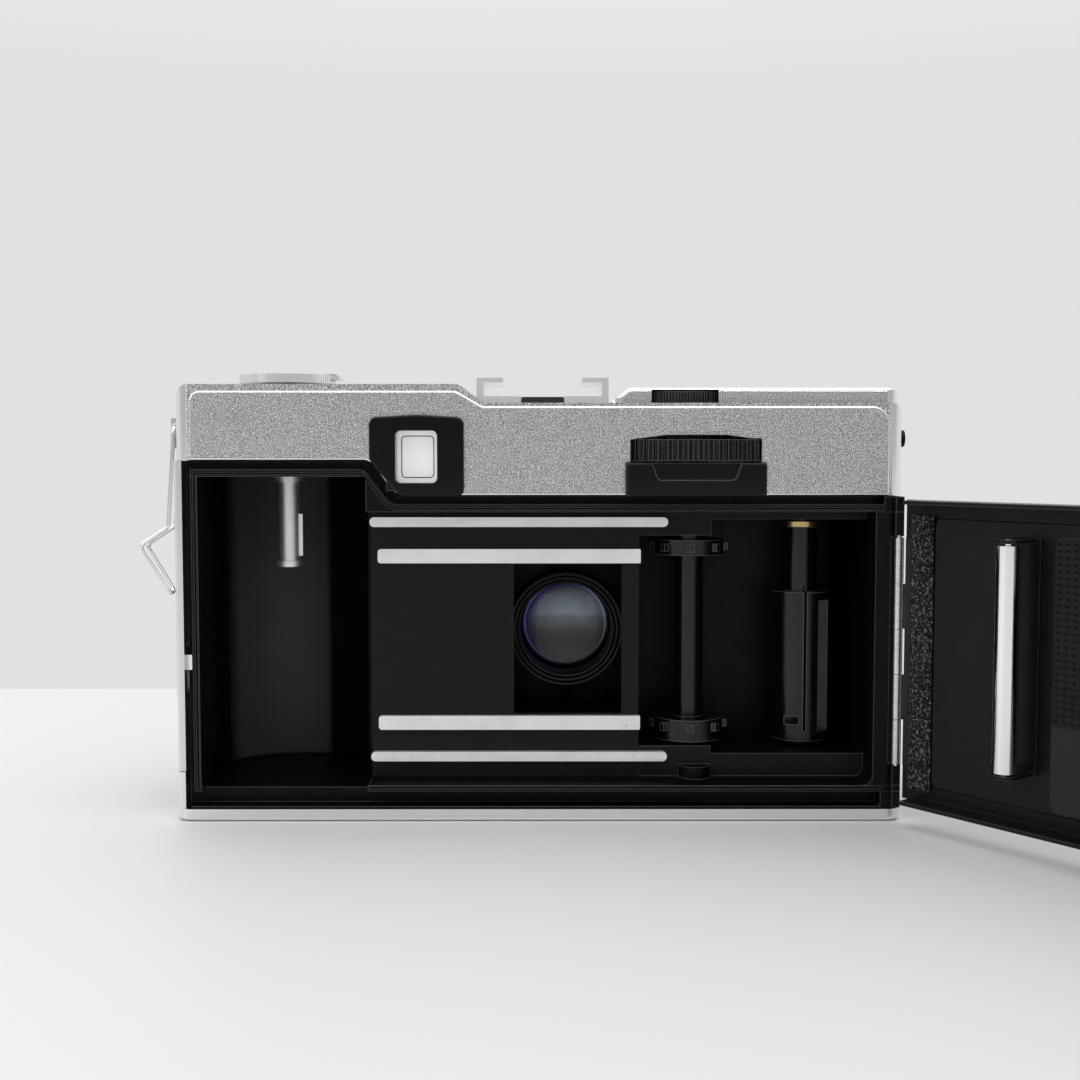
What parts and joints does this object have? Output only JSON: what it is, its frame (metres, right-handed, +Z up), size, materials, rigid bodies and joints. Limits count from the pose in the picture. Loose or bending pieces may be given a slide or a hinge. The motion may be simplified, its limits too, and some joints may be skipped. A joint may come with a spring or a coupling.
{
  "type": "half frame camera",
  "caption": "Compact half frame film camera with an open hinged back, film chambers and gate, light cell ring round the lens, thumb wheel wind, rewind crank and accessory shoe.",
  "frame": {"origin": "centre of the tripod socket's mouth on the base, below the lens axis", "axes": "+X towards the film chamber side, +Y towards the back, +Z up; the lens faces -Y"},
  "size_m": [0.183, 0.1295, 0.0686],
  "materials": {
    "black_casting": "black crinkle and satin paint",
    "rail_metal": "machined bare metal",
    "satin_chrome": "bead blasted satin chrome",
    "bright_chrome": "polished",
    "steel": "brushed",
    "brass": "plain",
    "leatherette": "pebbled",
    "gloss_black": "polished",
    "matte_black": "matte",
    "lens_metal": "satin black",
    "ring_metal": "knurled",
    "foam": "open cell foam",
    "cell": "selenium plate",
    "glass": "coated"
  },
  "bodies": {
    "camera": {"body_casting": "black_casting", "light_baffle": "black_casting", "film_rails": "rail_metal", "top_cover": "satin_chrome", "bottom_cover": "bright_chrome", "side_frame": "bright_chrome", "accessory_shoe": "bright_chrome", "strap_lug": "bright_chrome", "base_screws": "steel", "tripod_bush": "steel", "hinge_pin": "steel", "hinge_leaf_body": "steel", "shoe_contact": "brass", "front_covering": "leatherette", "eyepiece_frame": "gloss_black", "finder_bezel": "gloss_black", "wheel_housing": "gloss_black", "shoe_insulator": "matte_black", "finder_tube": "matte_black", "lens_base_ring": "lens_metal", "rear_lens_ring": "lens_metal", "shutter_housing": "lens_metal", "cell_holder": "lens_metal", "front_barrel": "lens_metal", "sync_socket": "lens_metal", "selenium_cell": "cell", "eyepiece_lens": "glass", "finder_window": "glass", "counter_window": "glass", "rear_lens": "glass", "cell_window": "glass", "front_lens": "glass"},
    "winder": {"wind_wheel": "gloss_black", "sprocket_shaft": "bright_chrome"},
    "idler": {"idler_gear": "steel"},
    "spool": {"take_up_spool": "bright_chrome", "spool_ring": "brass", "spool_gear": "steel"},
    "counter": {"counter_dial": "gloss_black"},
    "shutter_button": {"shutter_button": "bright_chrome"},
    "rewind_sleeve": {"rewind_collar": "bright_chrome"},
    "rewinder": {"rewind_shaft": "bright_chrome", "rewind_knob": "bright_chrome"},
    "crank": {"rewind_crank": "bright_chrome"},
    "crank_grip": {"crank_handle": "bright_chrome"},
    "release": {"rewind_release": "bright_chrome"},
    "aperture_ring": {"aperture_ring": "ring_metal"},
    "iso_ring": {"iso_ring": "lens_metal"},
    "blade_a": {"shutter_blade_a": "steel"},
    "blade_b": {"shutter_blade_b": "steel"},
    "latch": {"latch_slider": "bright_chrome"},
    "strap_ring": {"strap_ring": "bright_chrome"},
    "door": {"door_shell": "lens_metal", "door_covering": "leatherette", "door_foam": "foam", "hinge_leaf_door": "steel", "pressure_spring": "steel", "roller_bracket": "steel"},
    "film_plate": {"pressure_plate": "lens_metal"},
    "roller": {"film_roller": "bright_chrome"}
  },
  "joints": [
    {"name": "door_hinge", "type": "hinge", "parent": "camera", "child": "door", "pos_m": [-0.0497, 0.0146, 0.026], "axis": [0, 0, 1], "range_deg": [-127.5, 17.5]},
    {"name": "plate_press", "type": "slide", "parent": "door", "child": "film_plate", "axis": [-0.7934, -0.6088, 0], "range_m": [0, 0.0004], "stiffness_N_per_m": 400},
    {"name": "roller_spin", "type": "hinge", "parent": "door", "child": "roller", "pos_m": [-0.05954, 0.03415, 0.027], "axis": [0, 0, 1], "continuous": true},
    {"name": "wind_spin", "type": "hinge", "parent": "camera", "child": "winder", "pos_m": [-0.0195, 0.00185, 0.04], "axis": [0, 0, 1], "continuous": true},
    {"name": "idler_spin", "type": "hinge", "parent": "camera", "child": "idler", "pos_m": [-0.02937, 0.00022, 0.0033], "axis": [0, 0, 1], "continuous": true},
    {"name": "spool_spin", "type": "hinge", "parent": "camera", "child": "spool", "pos_m": [-0.038, -0.0012, 0.025], "axis": [0, 0, 1], "continuous": true},
    {"name": "counter_turn", "type": "hinge", "parent": "camera", "child": "counter", "pos_m": [-0.0177, 0.0041, 0.0646], "axis": [0, 0, 1], "continuous": true},
    {"name": "shutter_press", "type": "slide", "parent": "camera", "child": "shutter_button", "axis": [0, 0, -1], "range_m": [0, 0.0012], "stiffness_N_per_m": 300, "springref_m": -0.001},
    {"name": "rewind_pull", "type": "slide", "parent": "camera", "child": "rewind_sleeve", "axis": [0, 0, 1], "range_m": [0, 0.012]},
    {"name": "rewind_spin", "type": "hinge", "parent": "rewind_sleeve", "child": "rewinder", "pos_m": [0.0446, 0, 0.055], "axis": [0, 0, 1], "continuous": true},
    {"name": "crank_fold", "type": "hinge", "parent": "rewinder", "child": "crank", "pos_m": [0.0472, 0, 0.06795], "axis": [0, 1, 0], "range_deg": [0, 110]},
    {"name": "handle_spin", "type": "hinge", "parent": "crank", "child": "crank_grip", "pos_m": [0.0376, 0, 0.068], "axis": [0, 0, 1], "continuous": true},
    {"name": "release_press", "type": "slide", "parent": "camera", "child": "release", "axis": [0, 0, 1], "range_m": [0, 0.0005]},
    {"name": "aperture_turn", "type": "hinge", "parent": "camera", "child": "aperture_ring", "pos_m": [0, -0.021, 0.02705], "axis": [0, 1, 0], "range_deg": [0, 110]},
    {"name": "iso_turn", "type": "hinge", "parent": "camera", "child": "iso_ring", "pos_m": [0, -0.025, 0.02705], "axis": [0, 1, 0], "range_deg": [0, 75]},
    {"name": "blade_a_swing", "type": "hinge", "parent": "camera", "child": "blade_a", "pos_m": [-0.01, -0.0189, 0.02705], "axis": [0, 1, 0], "range_deg": [0, 50]},
    {"name": "blade_b_swing", "type": "hinge", "parent": "camera", "child": "blade_b", "pos_m": [0.01, -0.0195, 0.02705], "axis": [0, -1, 0], "range_deg": [0, 50]},
    {"name": "latch_slide", "type": "slide", "parent": "camera", "child": "latch", "axis": [0, 0, -1], "range_m": [0, 0.003], "stiffness_N_per_m": 150, "springref_m": -0.001},
    {"name": "strap_swing", "type": "hinge", "parent": "camera", "child": "strap_ring", "pos_m": [0.06045, 0.0075, 0.06], "axis": [0, -1, 0], "range_deg": [0, 150]}
  ],
  "couplings": [
    {"joint": "idler_spin", "follows": "wind_spin", "ratio": -1},
    {"joint": "spool_spin", "follows": "wind_spin", "ratio": 1.3333},
    {"joint": "counter_turn", "follows": "wind_spin", "ratio": -0.027778},
    {"joint": "blade_b_swing", "follows": "blade_a_swing", "ratio": 1}
  ]
}
